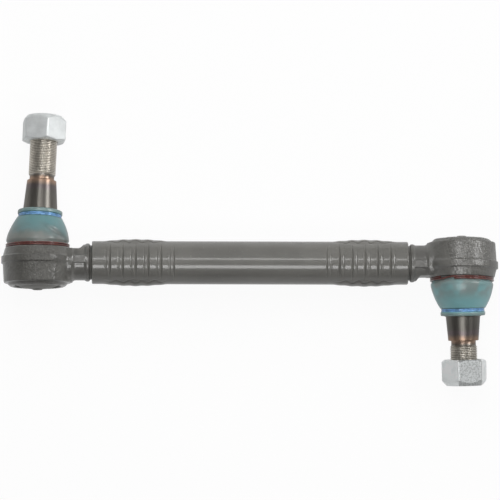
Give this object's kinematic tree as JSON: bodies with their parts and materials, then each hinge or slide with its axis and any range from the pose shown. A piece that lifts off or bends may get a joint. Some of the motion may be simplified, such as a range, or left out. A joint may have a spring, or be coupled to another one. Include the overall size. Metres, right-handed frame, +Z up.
{
  "type": "stabilizer link",
  "caption": "Anti-roll bar link: crimped steel tube with a forged ball joint at each end, tapered studs that point opposite ways, rubber boots and lock nuts.",
  "frame": {"origin": "midpoint between the two ball centres, on the tube's axis; the part's centroid lies within the tolerance of it", "axes": "+X along the tube from the end whose stud points to +Y towards the other end, +Y along the first end's housing axis towards its stud, +Z up from the table that both housings lie on"},
  "size_m": [0.4392, 0.2413, 0.0642],
  "materials": {
    "painted_steel": "satin grey paint over forged and drawn steel",
    "turned_steel": "turned and induction hardened, with a heat tint at the taper's end",
    "zinc_nut": "zinc plated, dull silver",
    "boot_rubber": "translucent teal polyurethane",
    "ring_red": "red-brown coated spring wire",
    "ring_blue": "blue coated spring wire",
    "race_plastic": "moulded bearing plastic",
    "spring_steel": "hardened spring steel",
    "seal_rubber": "black rubber"
  },
  "bodies": {
    "link_body": {"tube": "painted_steel", "left_forged_head": "painted_steel", "left_upper_race": "race_plastic", "left_lower_race": "race_plastic", "left_disc_spring": "spring_steel", "left_end_cover": "painted_steel", "left_cover_seal": "seal_rubber", "left_boot_housing_ring": "ring_red", "right_forged_head": "painted_steel", "right_upper_race": "race_plastic", "right_lower_race": "race_plastic", "right_disc_spring": "spring_steel", "right_end_cover": "painted_steel", "right_cover_seal": "seal_rubber", "right_boot_housing_ring": "ring_red"},
    "left_boot_body": {"left_boot": "boot_rubber"},
    "left_collar_body": {"left_boot_stud_ring": "ring_blue"},
    "left_stud_body": {"left_ball_stud": "turned_steel"},
    "left_nut_body": {"left_lock_nut": "zinc_nut"},
    "right_boot_body": {"right_boot": "boot_rubber"},
    "right_collar_body": {"right_boot_stud_ring": "ring_blue"},
    "right_stud_body": {"right_ball_stud": "turned_steel"},
    "right_nut_body": {"right_lock_nut": "zinc_nut"}
  },
  "joints": [
    {"name": "left_stud_swing", "type": "hinge", "parent": "link_body", "child": "left_boot_body", "pos_m": [-0.1875, 0, 0], "axis": [0, 1, 0], "continuous": true},
    {"name": "left_stud_tilt", "type": "hinge", "parent": "left_boot_body", "child": "left_collar_body", "pos_m": [-0.1875, 0, 0], "axis": [-0.8685, 0, -0.4957], "range_deg": [-24.83, 15.17], "deforming": ["left_boot"]},
    {"name": "left_stud_spin", "type": "hinge", "parent": "left_collar_body", "child": "left_stud_body", "pos_m": [-0.1875, 0, 0], "axis": [0.0418, 0.9964, -0.0732], "continuous": true},
    {"name": "left_nut_travel", "type": "slide", "parent": "left_stud_body", "child": "left_nut_body", "axis": [0.0418, 0.9964, -0.0732], "range_m": [-0.03, 0.0068]},
    {"name": "right_stud_swing", "type": "hinge", "parent": "link_body", "child": "right_boot_body", "pos_m": [0.1875, 0, 0], "axis": [0, -1, 0], "continuous": true},
    {"name": "right_stud_tilt", "type": "hinge", "parent": "right_boot_body", "child": "right_collar_body", "pos_m": [0.1875, 0, 0], "axis": [0.974, 0, 0.2265], "range_deg": [-26.16, 13.84], "deforming": ["right_boot"]},
    {"name": "right_stud_spin", "type": "hinge", "parent": "right_collar_body", "child": "right_stud_body", "pos_m": [0.1875, 0, 0], "axis": [0.0243, -0.9942, -0.1045], "continuous": true},
    {"name": "right_nut_travel", "type": "slide", "parent": "right_stud_body", "child": "right_nut_body", "axis": [0.0243, -0.9942, -0.1045], "range_m": [-0.0117, 0.0251]}
  ]
}
